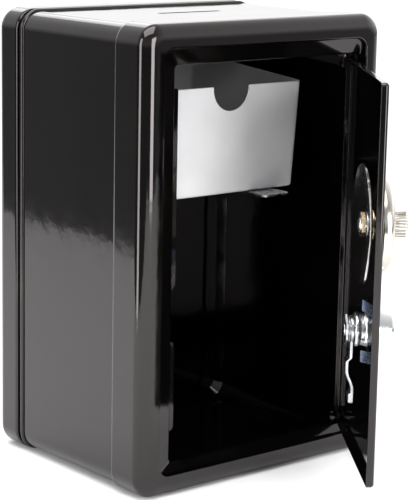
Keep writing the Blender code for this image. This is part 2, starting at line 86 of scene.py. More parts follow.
CASE_BOX = (FRAME_LOW.x, FRAME_HIGH.x, FRAME_LOW.z, FRAME_HIGH.z)
DEPTH = COVER_HIGH.y
CORNER = 8.5                    # radius of the case's four long edges
FILLET = 5.0                    # radius round the front and back faces
INNER_SLOPE = 3.0               # of the corner between a cap's inner wall and its inner face
BAND_INSET = SHEET + GAP        # the wrapper lies inside the two caps
BEAD_DEPTH = 79.4
BEAD_RADIUS = 0.9
SLOT_LENGTH = 31.0
SLOT_WIDTH = 3.2
SLOT_DEPTH = 49.0               # of the slot's middle, from the front face

RECESS = (-50.2, 51.2, 8.6, 170.6)          # left, right, bottom, top
DOORWAY = (-42.6, 51.9, 12.3, 164.1)
RECESS_CORNER = 4.5
RECESS_LIP = 1.2                # width of the rounded lip round the recess
DOORWAY_CORNER = 1.6
LEDGE_START = 2.3               # depth of the sloping ledge at the recess wall
LEDGE_DEPTH = 4.0               # and at the doorway
FLANGE_END = 6.1
RIM_ROLL = (0.6, 1.5)           # the caps' rolled rims, across and along the side wall
FACE_BLEND = 6.2                # how far the outer round runs into the front face
CORNER_GAIN = 0.15              # how much rounder the front's corners get per millimetre drawn in
STRIKE_ENDS = {"strike_lower": (2.0, 3.0), "strike_upper": (3.0, 0.8)}      # bottom and top radius

HINGE_DEPTH = (HINGE.y - FRONT_Y) / MM
DOOR_BOX = (-41.5 - HINGE.x / MM, 49.8 - HINGE.x / MM, 12.7, 162.5)
DOOR_CORNER = 1.5
DOOR_FILLET = 1.3
DOOR_FACE = 3.0 - HINGE_DEPTH   # the closed door lies 3 mm behind the case's front face
DOOR_FLANGE = 3.0

SHAFT_RADIUS = 2.6
DIAL_BORE = SHAFT_RADIUS + GAP
BUSH_HOLE = 4.2                 # radius of the door's hole for the bush
PLATE_RADIUS = 18.5
HUB_FACE = -5.3                 # depth of the dial plate's hub, which the knob stands on
MARK_FACE = -5.06
MARK_HEIGHT = 0.09
MARK_COUNT = 50
MARK_REACH = 14.5               # radius where the ticks end
LONG_TICK = (12.7, 0.16)        # radius where it starts and half its width
SHORT_TICK = (13.5, 0.10)
NUMERAL_REACH = 10.9
NUMERAL_SIZE = 3.2
KNOB_RADIUS = 5.7
KNOB_END = -11.3
KNOB_FLUTES = 28
FLUTE_DEPTH = 0.42
DISC_RADIUS = 22.4
DISC_FLAT = 13.3
DISC_CUP = 7.0                  # radius of the disc's flat middle
DISC_DEPTH = 2.2
DISC_RISE = 2.55                # how far the disc is dished
DISC_SHEET = 0.8

BARREL_RADIUS = 6.6
BARREL_END = 6.9
BEZEL_RADIUS = 9.0
BEZEL_FACE = -7.8
PLUG_RADIUS = 4.0
PLUG_FACE = -7.55
TAIL_RADIUS = 2.3
TAIL_END = 10.6
TAIL_BORE = TAIL_RADIUS + GAP
CAM_SHEET = 1.0
CAM_LENGTH = 28.0
CAM_EYE = 5.2                   # radius of the eye round the plug's tail
CAM_HALF = 3.3                  # half the arm's width at the eye
CAM_TAPER = 0.022               # how much of it each millimetre takes off
CAM_CRANK = (1.4, -0.8)         # depth of the arm's hump and of its tip, from the eye
TIP_START = 23.9
TIP_SHEET = 0.8                 # what the tip has over the sheet's thickness
CLIP_SHEET = 0.7
CLIP_REACH = 9.0                # from the lock's axis to the clip's two wings
CLIP_WIDTH = 4.3
WING_END = 5.2                  # depth of the wings' free ends
WING_BEND = 0.12                # share of a wing's height that its bend takes
STRIP_EDGE = 0.12               # softened edge of the clip and the cam

TRAY_WALL = 0.9
TRAY_DRAFT = 3.1
TRAY_FRONT_TOP = 152.3          # the rim slopes up from here to the tray's back
TRAY_CORNER = 3.0
NOTCH_RADIUS = 9.0
NOTCH_DEPTH = 9.8

FLOOR_LEFT = -0.345             # metres. Beyond the paper's left and front ends the enamel shows dark
FLOOR_FRONT = -0.62
FLOOR_RIGHT = 2.2
FLOOR_BACK = 3.0
CAMERA_PLACE = (-469.06, -525.83, 236.54)   # millimetres in the case's frame
CAMERA_YAW = 39.83              # degrees to the right of straight into the case
CAMERA_PITCH = 11.724           # degrees down
CAMERA_ROLL = 1.143
CAMERA_SENSOR = 36.0
CAMERA_LENS = 133.74


# ---------------------------------------------------------------- materials

def node(tree, kind, **values):
    """Add a shader node and set its properties or its inputs."""
    made = tree.nodes.new(kind)
    for key, value in values.items():
        if key in made.inputs:
            made.inputs[key].default_value = value
        else:
            setattr(made, key, value)
    return made


def noise(tree, scale, detail=3.0, roughness=0.5, stretch=(1.0, 1.0, 1.0)):
    """Noise in the piece's own coordinates. The scale is in features per metre."""
    place = node(tree, "ShaderNodeTexCoord")
    mapping = node(tree, "ShaderNodeMapping")
    mapping.inputs["Scale"].default_value = stretch
    tree.links.new(place.outputs["Object"], mapping.inputs["Vector"])
    made = node(tree, "ShaderNodeTexNoise", Scale=scale, Detail=detail, Roughness=roughness)
    tree.links.new(mapping.outputs["Vector"], made.inputs["Vector"])
    return made.outputs["Fac"]


def spread(tree, value, low, high, start=0.3, end=0.7):
    """Map a value between start and end onto low to high."""
    ramp = node(tree, "ShaderNodeMapRange")
    ramp.inputs["From Min"].default_value = start
    ramp.inputs["From Max"].default_value = end
    ramp.inputs["To Min"].default_value = low
    ramp.inputs["To Max"].default_value = high
    tree.links.new(value, ramp.inputs["Value"])
    return ramp.outputs["Result"]


def two_tone(tree, value, first, second, start=0.35, end=0.65):
    """A colour that runs from first to second as a value rises."""
    ramp = node(tree, "ShaderNodeValToRGB")
    ramp.color_ramp.elements[0].position = start
    ramp.color_ramp.elements[0].color = (*first, 1.0)
    ramp.color_ramp.elements[1].position = end
    ramp.color_ramp.elements[1].color = (*second, 1.0)
    tree.links.new(value, ramp.inputs["Fac"])
    return ramp.outputs["Color"]


def bumps(tree, shader, layers):
    """Chain bump nodes. Each layer is a height output and its height in metres."""
    normal = None
    for height, distance in layers:
        made = node(tree, "ShaderNodeBump", Strength=1.0, Distance=distance)
        tree.links.new(height, made.inputs["Height"])
        if normal:
            tree.links.new(normal, made.inputs["Normal"])
        normal = made.outputs["Normal"]
    tree.links.new(normal, shader.inputs["Normal"])


def new_material(name, metallic=0.0, ior=1.5):
    """An empty Principled material with its tree and shader."""
    made = bpy.data.materials.new(name)
    made.use_nodes = True
    tree = made.node_tree
    shader = tree.nodes["Principled BSDF"]
    shader.inputs["Metallic"].default_value = metallic
    shader.inputs["IOR"].default_value = ior
    return made, tree, shader


def enamel_material():
    """Stoved gloss black over sheet steel: orange peel, faint flow marks and dust."""
    made, tree, shader = new_material("black_enamel_look", ior=1.52)
    shader.inputs["Specular Tint"].default_value = (1.0, 0.93, 0.93, 1.0)
    tone = noise(tree, 35.0, 4.0)
    tree.links.new(two_tone(tree, tone, (0.0010, 0.0009, 0.0009), (0.0018, 0.0016, 0.0015)),
                   shader.inputs["Base Color"])
    gloss = noise(tree, 60.0, 6.0, 0.65)
    tree.links.new(spread(tree, gloss, 0.045, 0.11), shader.inputs["Roughness"])
    peel = noise(tree, 170.0, 2.0, 0.45)
    flow = noise(tree, 55.0, 1.0, 0.4)
    grain = noise(tree, 1400.0, 2.0, 0.5)
    bumps(tree, shader, ((flow, 0.00006), (peel, 0.000032), (grain, 0.0000016)))
    return made


def plated_material(name, light, dark, smooth, rough, scale=90.0, stretch=(1.0, 1.0, 1.0)):
    """Plated metal with clouding, rubbed patches and fine lines."""
    made, tree, shader = new_material(name, metallic=1.0)
    tone = noise(tree, scale, 5.0, 0.6)
    tree.links.new(two_tone(tree, tone, dark, light), shader.inputs["Base Color"])
    rub = noise(tree, scale * 2.5, 6.0, 0.7, stretch)
    tree.links.new(spread(tree, rub, smooth, rough), shader.inputs["Roughness"])
    lines = noise(tree, scale * 14, 3.0, 0.6, stretch)
    bumps(tree, shader, ((lines, 0.000004),))
    return made


def cast_material():
    """Chrome over a die casting: bright, with the casting's uneven skin showing through."""
    made, tree, shader = new_material("cast_look", metallic=1.0)
    tone = noise(tree, 420.0, 4.0, 0.6)
    tree.links.new(two_tone(tree, tone, (0.42, 0.42, 0.42), (0.82, 0.82, 0.83), 0.38, 0.58),
                   shader.inputs["Base Color"])
    rub = noise(tree, 300.0, 5.0, 0.6)
    tree.links.new(spread(tree, rub, 0.12, 0.30), shader.inputs["Roughness"])
    skin_height = noise(tree, 520.0, 3.0, 0.55)
    bumps(tree, shader, ((skin_height, 0.00022),))
    return made


def tray_material():
    """Satin silver-grey plastic with a fine moulded grain and faint sink marks."""
    made, tree, shader = new_material("tray_look", ior=1.49)
    tone = noise(tree, 45.0, 4.0, 0.55)
    tree.links.new(two_tone(tree, tone, (0.60, 0.60, 0.61), (0.66, 0.66, 0.67)),
                   shader.inputs["Base Color"])
    gloss = noise(tree, 150.0, 5.0, 0.6)
    tree.links.new(spread(tree, gloss, 0.34, 0.46), shader.inputs["Roughness"])
    grain = noise(tree, 3200.0, 2.0, 0.5)
    sink = noise(tree, 30.0, 1.0, 0.4)
    bumps(tree, shader, ((sink, 0.00012), (grain, 0.000006)))
    return made


def print_material():
    """Black filler in the dial's marks, slightly worn."""
    made, tree, shader = new_material("mark_look")
    tone = noise(tree, 900.0, 4.0, 0.6)
    tree.links.new(two_tone(tree, tone, (0.012, 0.012, 0.013), (0.05, 0.05, 0.05)),
                   shader.inputs["Base Color"])
    tree.links.new(spread(tree, tone, 0.4, 0.6), shader.inputs["Roughness"])
    return made


def floor_material():
    """Pale matt studio paper."""
    made, tree, shader = new_material("floor_look")
    tone = noise(tree, 12.0, 4.0, 0.5)
    tree.links.new(two_tone(tree, tone, (0.92, 0.92, 0.92), (0.94, 0.94, 0.94)),
                   shader.inputs["Base Color"])
    shader.inputs["Roughness"].default_value = 0.85
    return made


ENAMEL = enamel_material()
NICKEL = plated_material("nickel_look", (0.66, 0.62, 0.57), (0.52, 0.49, 0.44), 0.10, 0.22)
CHROME = plated_material("chrome_look", (0.74, 0.75, 0.76), (0.66, 0.67, 0.69), 0.05, 0.13)
CAST = cast_material()
ZINC = plated_material("zinc_look", (0.66, 0.67, 0.69), (0.46, 0.47, 0.49), 0.16, 0.38, 130.0)
STEEL = plated_material("disc_look", (0.62, 0.60, 0.58), (0.46, 0.44, 0.42), 0.10, 0.26, 70.0,
                        stretch=(1.0, 1.0, 9.0))
BRASS = plated_material("brass_look", (0.86, 0.70, 0.48), (0.66, 0.50, 0.30), 0.14, 0.32, 160.0)
BLUED = plated_material("blued_look", (0.25, 0.30, 0.42), (0.12, 0.15, 0.23), 0.16, 0.34, 120.0)
PLASTIC = tray_material()
MARKS = print_material()


# ---------------------------------------------------------------- shape helpers

def rounded_corners(left, right, low, high, radius, steps=12):
    """Outline of a rounded rectangle, the same number of points for every size."""
    centres = (
        (right - radius, low + radius, -math.pi / 2),
        (right - radius, high - radius, 0.0),
        (left + radius, high - radius, math.pi / 2),
        (left + radius, low + radius, math.pi),
    )
    points = []
    for across, along, start in centres:
        for step in range(steps + 1):
            angle = start + step / steps * math.pi / 2
            points.append((across + radius * math.cos(angle), along + radius * math.sin(angle)))
    return points


def grown(box, size):
    """A box grown by size on every side."""
    left, right, low, high = box
    return (left - size, right + size, low - size, high + size)


def upright_ring(box, radius, depth, inset=0.0):
    """A rounded rectangle standing in an X-Z plane at one depth, drawn in by inset."""
    left, right, low, high = grown(box, -inset)
    points = rounded_corners(left, right, low, high, max(radius - inset, 0.2))
    return [Vector((x, depth, z)) for x, z in points]


def circle(radius, centre=(0.0, 0.0), steps=64):
    """Points of a circle in a plane."""
    turns = [2 * math.pi * step / steps for step in range(steps)]
    return [(centre[0] + radius * math.cos(turn), centre[1] + radius * math.sin(turn)) for turn in turns]


def circle_ring(radius, depth, steps):
    """A circle round the Y axis at one depth."""
    return [Vector((x, depth, z)) for x, z in circle(radius, steps=steps)]


def quarter_turn(steps, first=0):
    """The sine and cosine at even steps of a quarter turn."""
    angles = [step / steps * math.pi / 2 for step in range(first, steps + 1)]
    return [(math.sin(angle), math.cos(angle)) for angle in angles]


def bent(knots, closed):
    """Rings along a path of (ring, bend radius) knots, with each bend rounded point by point."""
    rings = []
    count = len(knots)
    for index, (ring, radius) in enumerate(knots):
        inner = closed or 0 < index < count - 1
        if not radius or not inner:
            rings.append(ring)
            continue
        before = knots[index - 1][0]
        after = knots[(index + 1) % count][0]
        steps = 3 if radius < 0.5 else 6 if radius < 3 else 12
        for step in range(steps + 1):
            share = step / steps
            bend = []
            for start, corner, end in zip(before, ring, after):
                back = min(radius, (start - corner).length * 0.49)
                ahead = min(radius, (end - corner).length * 0.49)
                entry = corner + (start - corner).normalized() * back
                leave = corner + (end - corner).normalized() * ahead
                weight = math.sqrt(0.5)
                parts = ((1 - share) ** 2, 2 * share * (1 - share) * weight, share ** 2)
                total = sum(parts)
                bend.append((entry * parts[0] + corner * parts[1] + leave * parts[2]) / total)
            rings.append(bend)
    return rings


def put(name, maker, look, slot, body, place, nodes=(), sharp=40.0, weighted=True):
    """Turn a bmesh into a named piece at its place. It rides a body and stands for CAD nodes."""
    bmesh.ops.recalc_face_normals(maker, faces=maker.faces)
    bmesh.ops.scale(maker, vec=(MM, MM, MM), verts=maker.verts)
    mesh = bpy.data.meshes.new(name)
    maker.to_mesh(mesh)
    maker.free()
    mesh.transform(place)
    mesh.shade_smooth()
    mesh.set_sharp_from_angle(angle=math.radians(sharp))
    piece = bpy.data.objects.new(name, mesh)
    bpy.context.scene.collection.objects.link(piece)
    if look:
        mesh.materials.append(look)
    if weighted:
        flat = piece.modifiers.new("flat_faces", "WEIGHTED_NORMAL")
        flat.keep_sharp = True
    if body:
        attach(piece, body)
    if nodes:
        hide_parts(*nodes)
    return piece


def skin(maker, rings, closed):
    """Add faces over rings of equal length to a bmesh, capped unless closed."""
    rows = [[maker.verts.new(point) for point in ring] for ring in rings]
    pairs = list(zip(rows[:-1], rows[1:]))
    if closed:
        pairs.append((rows[-1], rows[0]))
    else:
        maker.faces.new(rows[0])
        maker.faces.new(rows[-1])
    for first, second in pairs:
        for index in range(len(first)):
            after = (index + 1) % len(first)
            maker.faces.new((first[index], first[after], second[after], second[index]))


def shell(name, knots, closed, *args, **options):
    """A piece skinned over rounded knots."""
    maker = bmesh.new()
    skin(maker, bent(knots, closed), closed)
    return put(name, maker, *args, **options)


def turned(name, profile, closed, *args, steps=96, **options):
    """A turned piece on the Y axis from (radius, depth, bend radius) points."""
    knots = [(circle_ring(radius, depth, steps), bend) for radius, depth, bend in profile]
    return shell(name, knots, closed, *args, **options)


def cut(piece, place, outline, span, axis):
    """Cut an outline, pushed along one axis of the place's frame, out of a piece's mesh."""
    maker = bmesh.new()
    rings = []
    for level in span:
        ring = []
        for first, second in outline:
            coordinates = [first, second]
            coordinates.insert(axis, level)
            ring.append(Vector(coordinates))
        rings.append(ring)
    skin(maker, rings, closed=False)
    cutter = put("cutter", maker, None, None, None, place, weighted=False)
    modifier = piece.modifiers.new("cut", "BOOLEAN")
    modifier.operation = "DIFFERENCE"
    modifier.solver = "EXACT"
    modifier.object = cutter
    piece.modifiers.move(len(piece.modifiers) - 1, 0)
    bpy.context.view_layer.update()
    graph = bpy.context.evaluated_depsgraph_get()
    for extra in piece.modifiers:
        extra.show_viewport = extra.name == "cut"
    graph.update()
    result = bpy.data.meshes.new_from_object(piece.evaluated_get(graph))
    piece.modifiers.remove(modifier)
    for extra in piece.modifiers:
        extra.show_viewport = True
    piece.data = result
    bpy.data.objects.remove(cutter, do_unlink=True)


# ---------------------------------------------------------------- case

def rim(end, inward):
    """Rings of a cap's rolled rim, from its end back along the side wall. Inward is 1 or -1."""
    across, along = RIM_ROLL
    rings = []
    for sine, cosine in quarter_turn(6):
        depth = end - inward * (along * (1 - cosine))
        rings.append((upright_ring(CASE_BOX, CORNER, depth, across * (1 - sine)), 0.0))
    return rings


def front_frame():
    """Drawn front with its stepped doorway, from the side wall round to the inner flange and back."""
    inner_recess = grown(RECESS, SHEET)
    inner_doorway = grown(DOORWAY, SHEET)
    knots = rim(FRAME_HIGH.y, 1)
    knots.append((upright_ring(CASE_BOX, CORNER, FILLET), 0.0))
    for sine, cosine in quarter_turn(12, first=1):
        inset = FACE_BLEND * (1 - cosine)
        depth = FILLET * (1 - sine)
        knots.append((upright_ring(CASE_BOX, CORNER + inset * CORNER_GAIN, depth, inset), 0.0))
    knots += [
        (upright_ring(grown(RECESS, RECESS_LIP), RECESS_CORNER + RECESS_LIP, 0.0), 0.0),
        (upright_ring(RECESS, RECESS_CORNER, 0.0), 1.1),
        (upright_ring(RECESS, RECESS_CORNER, LEDGE_START), 0.5),
        (upright_ring(DOORWAY, DOORWAY_CORNER, LEDGE_DEPTH), 1.0),
        (upright_ring(DOORWAY, DOORWAY_CORNER, FLANGE_END), 0.3),
        (upright_ring(inner_doorway, DOORWAY_CORNER + SHEET, FLANGE_END), 0.3),
        (upright_ring(inner_doorway, DOORWAY_CORNER + SHEET, LEDGE_DEPTH + SHEET), 0.2),
        (upright_ring(inner_recess, RECESS_CORNER + SHEET, LEDGE_START + SHEET), 0.9),
        (upright_ring(inner_recess, RECESS_CORNER + SHEET, SHEET), 0.2),
        (upright_ring(CASE_BOX, CORNER, SHEET, SHEET + INNER_SLOPE), 0.0),
        (upright_ring(CASE_BOX, CORNER, SHEET + INNER_SLOPE, SHEET), 0.0),
        (upright_ring(CASE_BOX, CORNER, FRAME_HIGH.y, SHEET), 0.0),
    ]
    shell("front_frame_look", knots, True, ENAMEL, "black_enamel", "root", CASE, ("front_frame",))


def body_band():
    """Wrapper with a rolled bead near the back cover and the coin slot on top."""
    knots = [(upright_ring(CASE_BOX, CORNER, BAND_LOW.y, BAND_INSET), 0.2)]
    for step in range(17):
        angle = step / 16 * math.pi
        depth = BEAD_DEPTH - BEAD_RADIUS * math.cos(angle)
        rise = BEAD_RADIUS * math.sin(angle)
        knots.append((upright_ring(CASE_BOX, CORNER, depth, BAND_INSET - rise), 0.0))
    knots += [
        (upright_ring(CASE_BOX, CORNER, BAND_HIGH.y, BAND_INSET), 0.2),
        (upright_ring(CASE_BOX, CORNER, BAND_HIGH.y, BAND_INSET + SHEET), 0.2),
        (upright_ring(CASE_BOX, CORNER, BAND_LOW.y, BAND_INSET + SHEET), 0.2),
    ]
    band = shell("body_band_look", knots, True, ENAMEL, "black_enamel", "root", CASE, ("body_band",))
    reach = SLOT_LENGTH / 2
    edge = SLOT_WIDTH / 2
    outline = rounded_corners(-reach, reach, SLOT_DEPTH - edge, SLOT_DEPTH + edge, edge * 0.6, steps=5)
    cut(band, CASE, outline, (FRAME_HIGH.z - 6, FRAME_HIGH.z + 6), 2)


def back_cover():
    """Drawn cover over the back, from its outer face round the rim to its inner face."""
    knots = []
    for sine, cosine in quarter_turn(12):
        depth = DEPTH - FILLET * (1 - cosine)
        knots.append((upright_ring(CASE_BOX, CORNER, depth, FILLET * (1 - sine)), 0.0))
    knots += reversed(rim(COVER_LOW.y, -1))
    knots += [
        (upright_ring(CASE_BOX, CORNER, COVER_LOW.y, SHEET), 0.0),
        (upright_ring(CASE_BOX, CORNER, DEPTH - SHEET - INNER_SLOPE, SHEET), 0.0),
        (upright_ring(CASE_BOX, CORNER, DEPTH - SHEET, SHEET + INNER_SLOPE), 0.0),
    ]
    shell("back_cover_look", knots, False, ENAMEL, "black_enamel", "root", CASE, ("back_cover",))


def strike_plate(node_name):
    """Angle plate behind the left ledge with rounded ends."""
    low, high = case_box(node_name)
    bottom, top = STRIKE_ENDS[node_name]
    turns = quarter_turn(8)
    levels = [(low.z + bottom * (1 - cosine), bottom * (1 - sine)) for sine, cosine in turns]
    levels += [(high.z - top * (1 - cosine), top * (1 - sine)) for sine, cosine in reversed(turns)]
    rings = []
    for level, inset in levels:
        section = (
            (low.x, low.y), (low.x + SHEET, low.y), (low.x + SHEET, high.y - SHEET),
            (high.x - inset, high.y - SHEET), (high.x - inset, high.y), (low.x, high.y),
        )
        rings.append([Vector((x, y, level)) for x, y in section])
    maker = bmesh.new()
    skin(maker, rings, closed=False)
    put(node_name + "_look", maker, ENAMEL, "black_enamel", "root", CASE, (node_name,))


# ---------------------------------------------------------------- door

def door_panel():
    """Shallow pan with a rolled outer edge and square flanges."""
    knots = []
    for sine, cosine in quarter_turn(8):
        depth = DOOR_FACE + DOOR_FILLET * (1 - cosine)
        knots.append((upright_ring(DOOR_BOX, DOOR_CORNER, depth, DOOR_FILLET * (1 - sine)), 0.0))
    flange_end = DOOR_FACE + DOOR_FLANGE
    knots += [
        (upright_ring(DOOR_BOX, DOOR_CORNER, flange_end), 0.3),
        (upright_ring(DOOR_BOX, DOOR_CORNER, flange_end, SHEET), 0.3),
        (upright_ring(DOOR_BOX, DOOR_CORNER, DOOR_FACE + SHEET, SHEET), 0.6),
        (upright_ring(DOOR_BOX, DOOR_CORNER, DOOR_FACE + SHEET, SHEET + 2.0), 0.0),
    ]
    panel = shell("door_panel_look", knots, False, ENAMEL, "black_enamel", "door", DOOR, ("door_panel",))
    for joint, radius in (("dial_spin", BUSH_HOLE), ("lock_turn", BARREL_RADIUS + GAP)):
        place = DOOR.inverted() @ Vector(JOINTS[joint]["pos_m"]) / MM
        cut(panel, DOOR, circle(radius, (place.x, place.z)), (DOOR_FACE - 5, DOOR_FACE + 5), 1)


# ---------------------------------------------------------------- dial

def dial_plate():
    """Domed nickel plate with a rolled edge and a low step round the knob."""
    profile = [
        (DIAL_BORE, HUB_FACE, 0.0), (7.6, HUB_FACE, 0.15), (8.0, -5.05, 0.15), (14.6, -4.95, 2.0),
        (PLATE_RADIUS - 0.9, -4.3, 1.6), (PLATE_RADIUS, -2.2, 1.2), (PLATE_RADIUS, -GAP, 0.2),
        (PLATE_RADIUS - 0.8, -GAP, 0.2), (PLATE_RADIUS - 0.8, -2.4, 1.0), (14.0, -4.2, 1.5),
        (DIAL_BORE, -4.5, 0.0),
    ]
    turned("dial_plate_look", profile, True, NICKEL, "nickel", "dial", DIAL, ("dial_plate",), steps=160)


def dial_marks():
    """Ticks and numerals filled with black, lying in the dial plate's face."""
    maker = bmesh.new()
    for index in range(MARK_COUNT):
        turn = Matrix.Rotation(2 * math.pi * index / MARK_COUNT, 4, "Y")
        near, half = LONG_TICK if index % 5 == 0 else SHORT_TICK
        corners = [(-half, near), (half, near), (half, MARK_REACH), (-half, MARK_REACH)]
        depths = (MARK_FACE, MARK_FACE + MARK_HEIGHT)
        rings = [[turn @ Vector((x, depth, z)) for x, z in corners] for depth in depths]
        skin(maker, rings, closed=False)
    middle = MARK_FACE + MARK_HEIGHT / 2
    stand = Matrix.Translation((0.0, middle, NUMERAL_REACH)) @ Matrix.Rotation(math.pi / 2, 4, "X")
    for number in range(10):
        text = bpy.data.curves.new("numeral", "FONT")
        text.body = str(number)
        text.size = NUMERAL_SIZE
        text.extrude = MARK_HEIGHT / 2
        text.align_x = "CENTER"
        text.align_y = "CENTER"
        holder = bpy.data.objects.new("numeral", text)
        bpy.context.scene.collection.objects.link(holder)
        graph = bpy.context.evaluated_depsgraph_get()
        mesh = bpy.data.meshes.new_from_object(holder.evaluated_get(graph))
        mesh.transform(Matrix.Rotation(2 * math.pi * number / 10, 4, "Y") @ stand)
        maker.from_mesh(mesh)
        bpy.data.objects.remove(holder, do_unlink=True)
    put("dial_marks", maker, MARKS, "black_enamel", "dial", DIAL, weighted=False)


def dial_knob():
    """Fluted knob: round-bottomed flutes, a plain collar and a dished end.

    Each level is a radius, a depth and the share of the flutes' depth that it has.
    """
    count = KNOB_FLUTES * 12
    foot = HUB_FACE - GAP
    levels = (
        (KNOB_RADIUS - 0.25, foot, 0.0), (KNOB_RADIUS, foot - 0.25, 0.0), (KNOB_RADIUS, foot - 0.7, 0.0),
        (KNOB_RADIUS, foot - 0.85, 1.0), (KNOB_RADIUS, -10.6, 1.0), (KNOB_RADIUS - 0.15, -10.85, 0.8),
        (KNOB_RADIUS - 0.45, -11.15, 0.3), (KNOB_RADIUS - 0.8, KNOB_END, 0.0),
        (KNOB_RADIUS - 1.5, KNOB_END, 0.0), (KNOB_RADIUS - 1.75, -11.1, 0.0),
        (KNOB_RADIUS - 2.2, -11.05, 0.0),
    )
    rings = []
    for radius, depth, share in levels:
        ring = []
        for step in range(count):
            turn = 2 * math.pi * step / count
            wave = abs(math.cos(turn * KNOB_FLUTES / 2)) ** 3
            reach = radius - FLUTE_DEPTH * share * wave
            ring.append(Vector((reach * math.cos(turn), depth, reach * math.sin(turn))))
        rings.append(ring)
    maker = bmesh.new()
    skin(maker, rings, closed=False)
    knob = put("dial_knob_look", maker, NICKEL, "nickel", "dial", DIAL, ("dial_knob",), sharp=50)
    cut(knob, DIAL, circle(DIAL_BORE), (-10.2, 0.0), 1)


def lock_disc():
    """Dished disc with one flat and a thin turned rim."""
    steps = 160
    knots = []
    for thickness, order in ((0.0, 1), (DISC_SHEET, -1)):
        for radius, bend in ((DIAL_BORE, 0.0), (DISC_CUP, 1.5), (DISC_RADIUS, 0.12))[::order]:
            ring = []
            for step in range(steps):
                turn = 2 * math.pi * step / steps
                reach = radius
                if radius == DISC_RADIUS and math.cos(turn) < 0:
                    reach = min(radius, -DISC_FLAT / math.cos(turn))
                level = DISC_DEPTH + max(reach - DISC_CUP, 0.0) / (DISC_RADIUS - DISC_CUP) * DISC_RISE
                ring.append(Vector((reach * math.cos(turn), level + thickness, reach * math.sin(turn))))
            knots.append((ring, bend))
    shell("lock_disc_look", knots, True, STEEL, "zinc", "dial", DIAL, ("lock_disc",))


def hexagon_ring(flat, depth, steps=16):
    """A hexagon round the Y axis with many points, so that it lofts to circles."""
    ring = []
    for step in range(6 * steps):
        turn = 2 * math.pi * step / (6 * steps)
        local = (turn + math.pi / 6) % (math.pi / 3) - math.pi / 6
        reach = flat / math.cos(local)
        ring.append(Vector((reach * math.cos(turn), depth, reach * math.sin(turn))))
    return ring


def hex_nut(name, flat, bore, near, far, look, slot, body, place, nodes):
    """A hexagon nut with turned chamfers and a countersunk bore. Flat is half its width over flats."""
    count = 6 * 16
    chamfer = 0.22
    sink = 0.25
    rings = [
        circle_ring(bore + sink, near, count),
        circle_ring(flat * 0.97, near, count),
        hexagon_ring(flat, near + chamfer),
        hexagon_ring(flat, far - chamfer),
        circle_ring(flat * 0.97, far, count),
        circle_ring(bore + sink, far, count),
        circle_ring(bore, far - sink, count),
        circle_ring(bore, near + sink, count),
    ]
    knots = [(ring, 0.0) for ring in rings]
    shell(name, knots, True, look, slot, body, place, nodes, sharp=25)


def dial_hardware():
    """Shaft, bush, washer and hub nut."""
    turned("dial_shaft_look", (
        (SHAFT_RADIUS - 0.5, -10.0, 0.0), (SHAFT_RADIUS, -9.5, 0.2), (SHAFT_RADIUS, 5.9, 0.2),
        (SHAFT_RADIUS - 0.5, 6.4, 0.0),
    ), False, ZINC, "zinc", "dial", DIAL, ("dial_shaft",))
    turned("dial_bush_look", (
        (DIAL_BORE, -0.2, 0.1), (BUSH_HOLE - GAP, -0.2, 0.1), (BUSH_HOLE - GAP, 1.0, 0.1),
        (5.8, 1.0, 0.2), (5.8, 1.8, 0.2), (DIAL_BORE, 1.8, 0.1),
    ), True, BRASS, "brass", "door", DIAL, ("dial_bush",))
    turned("disc_washer_look", (
        (DIAL_BORE, 3.3, 0.1), (4.6, 3.3, 0.1), (4.6, 3.7, 0.1), (DIAL_BORE, 3.7, 0.1),
    ), True, ZINC, "zinc", "dial", DIAL, ("disc_washer",))
    hex_nut("disc_nut_look", 3.95, DIAL_BORE, 4.0, 5.9, BRASS, "brass", "dial", DIAL, ("disc_nut",))


# ---------------------------------------------------------------- lock

def lock_housing():
    """Chrome bezel and a cast barrel with a waist and a collar. Only what lies behind the door looks cast."""
    bore = PLUG_RADIUS + GAP
    bezel = [
        (bore, BEZEL_FACE, 0.15), (6.2, BEZEL_FACE, 0.6), (6.9, -7.0, 0.6), (8.7, -1.5, 0.5),
        (BEZEL_RADIUS, -GAP, 0.2),
    ]
    barrel = [
        (BARREL_RADIUS, -GAP, 0.0), (BARREL_RADIUS, 2.6, 0.3), (BARREL_RADIUS - 0.35, 3.0, 0.3),
        (BARREL_RADIUS - 0.5, 4.9, 0.3), (BARREL_RADIUS - 0.1, 5.3, 0.3),
        (BARREL_RADIUS - 0.1, BARREL_END - 0.5, 0.3), (BARREL_RADIUS - 0.5, BARREL_END, 0.2),
        (bore, BARREL_END, 0.1),
    ]
    profile = bezel + barrel
    housing = turned("lock_housing_look", profile, True, CHROME, "chrome", "door", LOCK, ("lock_housing",))
    housing.data.materials.append(CAST)
    inside = LOCK.inverted()
    for face in housing.data.polygons:
        face.material_index = int((inside @ face.center).y > 0)


def lock_plug():
    """Plug with a keyway in its face and a round tail for the cam."""
    profile = [
        (PLUG_RADIUS - 0.35, PLUG_FACE, 0.1), (PLUG_RADIUS, -7.2, 0.1), (PLUG_RADIUS, BARREL_END, 0.1),
        (TAIL_RADIUS, BARREL_END, 0.0), (TAIL_RADIUS, 10.35, 0.1), (TAIL_RADIUS - 0.25, TAIL_END, 0.0),
    ]
    plug = turned("lock_plug_look", profile, False, CHROME, "chrome", "lock", LOCK, ("lock_plug",))
    keyway = rounded_corners(-0.55, 0.55, -2.9, 2.2, 0.3, steps=3)
    cut(plug, LOCK, keyway, (-9.0, -3.0), 1)


